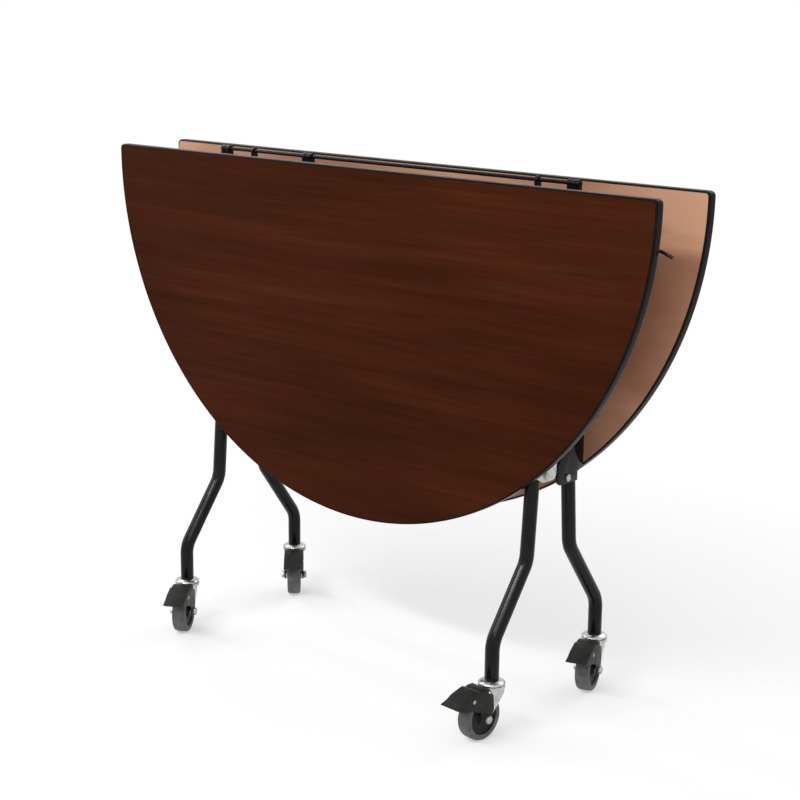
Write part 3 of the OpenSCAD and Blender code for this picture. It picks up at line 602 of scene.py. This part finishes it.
def on_axle(grid):
    """Lays a turned surface, made about Z, with its axis along the axle."""
    points, faces = grid
    points = np.stack([TRAIL + points[..., 0], points[..., 2], WHEEL_R + points[..., 1]], -1)
    return points, faces


def raceway(name):
    """Pressed collar and upper ball race, turned about the swivel axis, with the stem above
    it and the kingpin below."""
    profile = np.array([
        [0, 124], [9, 124], [9.3, 123], [9.3, 86.0], [13.2, 86.0], [14.6, 85.6], [17.6, 84.2],
        [19.6, 83.0], [20.4, 82.0], [20.5, 81.2], [20.2, 80.2], [19.4, 79.5], [12, 79.45],
        [4, 79.4], [4, 73.7], [7, 73.7], [7, 71.6], [5, 71.4], [0, 71.4]]) * MM
    caster_piece(name, "raceway", turned(profile), "zinc", "mount", 35)


def tyre(name):
    """Tread: a crowned band turned about the axle, with rounded shoulders."""
    r, h = WHEEL_R / MM, WHEEL_W / MM / 2
    profile = np.array([
        [r - 9, -h + 0.6], [r - 8.6, -h], [r - 3.4, -h], [r - 1.2, -h + 1.0],
        [r - 0.25, -h + 3.6], [r, -3.5], [r, 3.5], [r - 0.25, h - 3.6],
        [r - 1.2, h - 1.0], [r - 3.4, h], [r - 8.6, h], [r - 9, h - 0.6]])
    profile = softened(profile) * MM
    profile = np.concatenate([profile, profile[:1]])
    caster_piece(name, "tyre", on_axle(turned(profile, 112)), "wheel_rubber", "wheel", 50)


def wheel_centre(name):
    """Moulded centre: hub, dished web and rim seat, turned about the axle as one closed shell."""
    h = WHEEL_W / MM / 2
    face = np.array([
        [4.05, h], [9.6, h], [10.8, h - 0.5], [11.6, h - 3.0], [13.2, h - 3.9],
        [22.0, h - 4.1], [25.4, h - 3.4], [26.4, h - 1.0], [27.4, h - 0.5], [28.6, h - 0.7]])
    back = face[::-1] * [1, -1]
    profile = np.concatenate([face, back, face[:1]]) * MM
    grid = on_axle(turned(profile, 96))
    caster_piece(name, "wheel_centre", grid, "cover_plastic", "wheel", 30)


def cover_screw(name, steps=48):
    """Domed screw head on the outer side of the cover. Over a disc the height is the dome's
    rise times the root of 1 - (r / dome radius)^2, less its sink, and less the recess's depth
    in two crossed grooves. The last rings close its edge and its flat back."""
    u = np.linspace(0, 2 * np.pi, steps, endpoint=False)[:, None]
    r = np.array(SCREW_RINGS)[None]
    t, z = r * np.cos(u), r * np.sin(u)
    cross = (np.minimum(np.abs(t), np.abs(z)) < RECESS_HALF) & (r < RECESS_R)
    height = np.sqrt(np.clip(1 - (r / DOME_R) ** 2, 0, 1)) * DOME_RISE - DOME_SINK
    height = height - RECESS_DEPTH * cross
    height = np.where(np.arange(len(SCREW_RINGS))[None] >= SCREW_BACK_FROM, SCREW_BACK, height)
    points = np.stack([SCREW_T + t, SCREW_W + height, SCREW_Z + z], -1) * MM
    faces = grid_faces(steps, len(SCREW_RINGS), True, False)
    piece = mesh_piece(f"{name}_cover_screw", at_caster(name, points), faces)
    dress(piece, "bolt_steel", body=name + "_pedal")


def casters():
    for name in CASTERS:
        raceway(name)
        tyre(name)
        wheel_centre(name)
        for part, width in CASTER_EASE.items():
            eased(f"{name}_{part}", width)
        cover_screw(name)


# ----------------------------------------------------------------- floor, light, camera

def floor(steps=96):
    """Pale floor that keeps the shadow near the table and fades to plain white farther out."""
    u = np.linspace(0, 2 * np.pi, steps, endpoint=False)[:, None]
    r = np.array(FLOOR_RINGS)[None]
    z = np.zeros((steps, len(FLOOR_RINGS))) - FLOOR_DROP
    points = np.stack([r * np.cos(u), r * np.sin(u), z], -1)
    piece = mesh_piece("floor", points, grid_faces(steps, len(FLOOR_RINGS), True, False))
    material = bpy.data.materials.new("pale_floor")
    material.use_nodes = True
    tree = material.node_tree
    shader = tree.nodes["Principled BSDF"]
    shader.inputs["Base Color"].default_value = (0.9, 0.9, 0.9, 1)
    shader.inputs["Roughness"].default_value = 0.9
    shader.inputs["Specular IOR Level"].default_value = 0.1
    white = tree.nodes.new("ShaderNodeEmission")
    length = tree.nodes.new("ShaderNodeVectorMath")
    length.operation = "LENGTH"
    fade = tree.nodes.new("ShaderNodeMapRange")
    fade.inputs["From Min"].default_value = FADE_FROM
    fade.inputs["From Max"].default_value = FADE_TO
    fade.inputs["To Min"].default_value = LEAST_WHITE
    place = tree.nodes.new("ShaderNodeTexCoord")
    mix = tree.nodes.new("ShaderNodeMixShader")
    join = tree.links.new
    join(place.outputs["Object"], length.inputs[0])
    join(length.outputs["Value"], fade.inputs["Value"])
    join(fade.outputs["Result"], mix.inputs["Fac"])
    join(shader.outputs["BSDF"], mix.inputs[1])
    join(white.outputs["Emission"], mix.inputs[2])
    join(mix.outputs["Shader"], tree.nodes["Material Output"].inputs["Surface"])
    piece.data.materials.append(material)


def sky():
    """White to the camera and in reflections, softer as a light."""
    world = bpy.data.worlds.new("studio")
    bpy.context.scene.world = world
    world.use_nodes = True
    tree = world.node_tree
    tree.nodes.clear()
    out = tree.nodes.new("ShaderNodeOutputWorld")
    soft = tree.nodes.new("ShaderNodeBackground")
    white = tree.nodes.new("ShaderNodeBackground")
    mix = tree.nodes.new("ShaderNodeMixShader")
    soft.inputs["Strength"].default_value = SKY_LIGHT
    for background in (soft, white):
        background.inputs["Color"].default_value = (1, 1, 1, 1)
    rays = tree.nodes.new("ShaderNodeLightPath")
    seen = rays.outputs["Is Camera Ray"]
    for name in ("Is Glossy Ray", "Is Transmission Ray"):
        most = tree.nodes.new("ShaderNodeMath")
        most.operation = "MAXIMUM"
        tree.links.new(seen, most.inputs[0])
        tree.links.new(rays.outputs[name], most.inputs[1])
        seen = most.outputs["Value"]
    tree.links.new(seen, mix.inputs["Fac"])
    tree.links.new(soft.outputs["Background"], mix.inputs[1])
    tree.links.new(white.outputs["Background"], mix.inputs[2])
    tree.links.new(mix.outputs["Shader"], out.inputs["Surface"])


def lamp(name, place, target, size, watts, narrow=None):
    """Soft lamp turned to its target: a square, or a strip whose other side differs."""
    data = bpy.data.lights.new(name, "AREA")
    data.size, data.energy = size, watts
    if narrow:
        data.shape, data.size_y = "RECTANGLE", narrow
    piece = bpy.data.objects.new(name, data)
    bpy.context.collection.objects.link(piece)
    piece.location = place
    aim = Vector(target) - Vector(place)
    piece.rotation_euler = aim.to_track_quat("-Z", "Y").to_euler()


def camera():
    """Looks at the folded table from the front right, 13.4 degrees above the horizontal."""
    forward = np.array([-math.sin(AZIMUTH) * math.cos(ELEVATION),
                        math.cos(AZIMUTH) * math.cos(ELEVATION), -math.sin(ELEVATION)])
    right = np.array([math.cos(AZIMUTH), math.sin(AZIMUTH), 0])
    up = np.cross(right, forward)
    right, up = (math.cos(ROLL) * right + math.sin(ROLL) * up,
                 math.cos(ROLL) * up - math.sin(ROLL) * right)
    data = bpy.data.cameras.new("camera")
    data.sensor_width = SENSOR_MM
    data.lens = SENSOR_MM * FOCAL_PX / PICTURE_PX
    piece = bpy.data.objects.new("camera", data)
    bpy.context.collection.objects.link(piece)
    matrix = Matrix.Identity(4)
    for column, axis in enumerate((right, up, -forward)):
        for row in range(3):
            matrix[row][column] = axis[row]
    matrix.translation = (MID_X + CAMERA_X, FOLD_Y + CAMERA_Y, JOINT_Z + CAMERA_Z)
    piece.matrix_world = matrix
    bpy.context.scene.camera = piece


dress_nodes()
tops_and_legs()
hardware()
casters()
floor()
sky()
for lamp_name, setting in LAMPS.items():
    lamp(lamp_name, *setting)
camera()
bpy.context.scene.view_settings.view_transform = "Standard"
